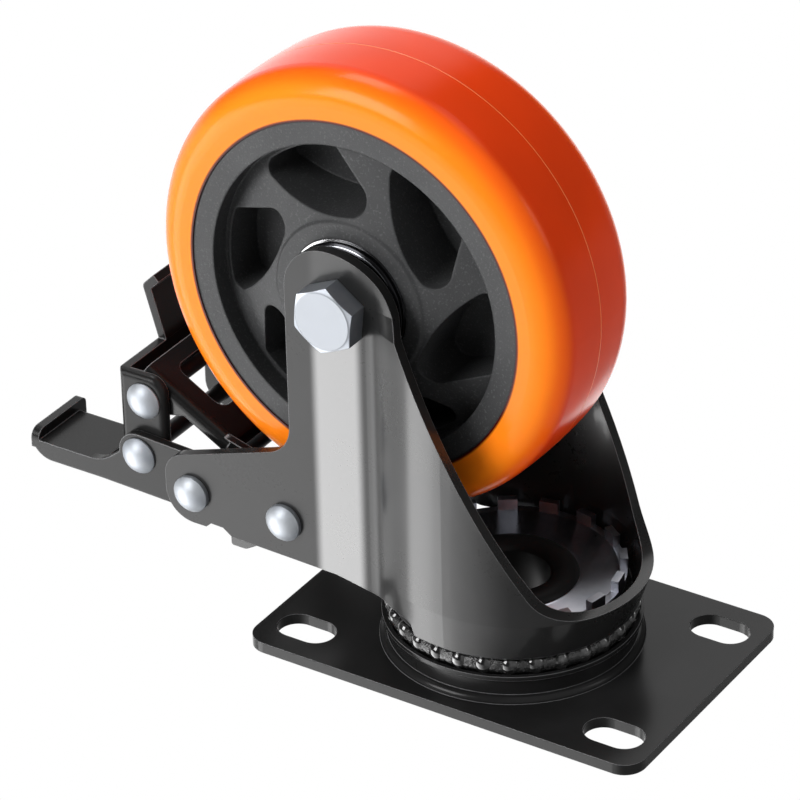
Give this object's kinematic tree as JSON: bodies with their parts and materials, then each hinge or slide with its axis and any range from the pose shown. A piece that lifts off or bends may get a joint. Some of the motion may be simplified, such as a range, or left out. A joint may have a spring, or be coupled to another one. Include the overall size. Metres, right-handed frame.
{
  "type": "swivel castor",
  "caption": "Swivel castor with a pressed steel fork, orange tyre on a spoked black core, ball race, slotted top plate, foot pedal brake and swivel lock",
  "frame": {"origin": "Centre of the mounting plate's outer face, on the swivel axis. The castor stands on that face with its wheel up, as pictured.", "axes": "+Z along the swivel axis from the plate to the wheel, +X along the plate's long side away from the brake, +Y along the axle away from the viewer."},
  "size_m": [0.16, 0.064, 0.133],
  "materials": {
    "top_plate": "satin black",
    "kingpin": "satin black",
    "lock_ring": "bright zinc",
    "main_race_balls": "greased steel, near black",
    "upper_race_balls": "bright steel",
    "fork": "satin black",
    "axle_bolt": "bright zinc",
    "axle_nut": "bright zinc",
    "axle_sleeve": "plain steel",
    "bearing_inner_rings": "ground steel",
    "bearing_outer_rings": "ground steel",
    "bearing_balls": "polished steel",
    "wheel_core": "black moulded plastic with a fine grain",
    "tread": "orange polyurethane",
    "dust_cap_near": "zinc",
    "dust_cap_far": "zinc",
    "ear_rivet": "bright zinc",
    "shoe_rivet": "bright zinc",
    "pedal_rivet": "bright zinc",
    "lever_rivet": "bright zinc",
    "foot_pedal": "satin black",
    "far_link": "satin black",
    "release_lever": "satin black",
    "brake_shoe": "satin black",
    "lock_tongue": "satin black"
  },
  "bodies": {
    "plate": {"top_plate": "top_plate", "kingpin": "kingpin", "lock_ring": "lock_ring", "main_race_balls": "main_race_balls", "upper_race_balls": "upper_race_balls"},
    "fork": {"fork": "fork", "axle_bolt": "axle_bolt", "axle_nut": "axle_nut", "axle_sleeve": "axle_sleeve", "bearing_inner_rings": "bearing_inner_rings", "ear_rivet": "ear_rivet", "shoe_rivet": "shoe_rivet"},
    "wheel": {"wheel_core": "wheel_core", "tread": "tread", "bearing_outer_rings": "bearing_outer_rings", "bearing_balls": "bearing_balls", "dust_cap_near": "dust_cap_near", "dust_cap_far": "dust_cap_far"},
    "pedal": {"foot_pedal": "foot_pedal", "far_link": "far_link", "pedal_rivet": "pedal_rivet"},
    "lever": {"release_lever": "release_lever", "lever_rivet": "lever_rivet"},
    "shoe": {"brake_shoe": "brake_shoe", "lock_tongue": "lock_tongue"}
  },
  "joints": [
    {"name": "swivel", "type": "hinge", "parent": "plate", "child": "fork", "pos_m": [0, 0, 0.012], "axis": [0, 0, 1], "continuous": true},
    {"name": "wheel_spin", "type": "hinge", "parent": "fork", "child": "wheel", "pos_m": [-0.0285, 0, 0.083], "axis": [0, 1, 0], "continuous": true},
    {"name": "pedal_press", "type": "hinge", "parent": "fork", "child": "pedal", "pos_m": [-0.0668, 0, 0.0274], "axis": [0, 1, 0], "range_deg": [0, 38]},
    {"name": "lever_swing", "type": "hinge", "parent": "pedal", "child": "lever", "pos_m": [-0.0826, 0, 0.0304], "axis": [0, 1, 0], "range_deg": [-39.2, 0]},
    {"name": "shoe_swing", "type": "hinge", "parent": "fork", "child": "shoe", "pos_m": [-0.043, 0, 0.0277], "axis": [0, 1, 0], "range_deg": [0, 14.2]}
  ],
  "couplings": [
    {"joint": "lever_swing", "follows": "pedal_press", "ratio": -1.0304},
    {"joint": "shoe_swing", "follows": "pedal_press", "ratio": 0.3715}
  ]
}
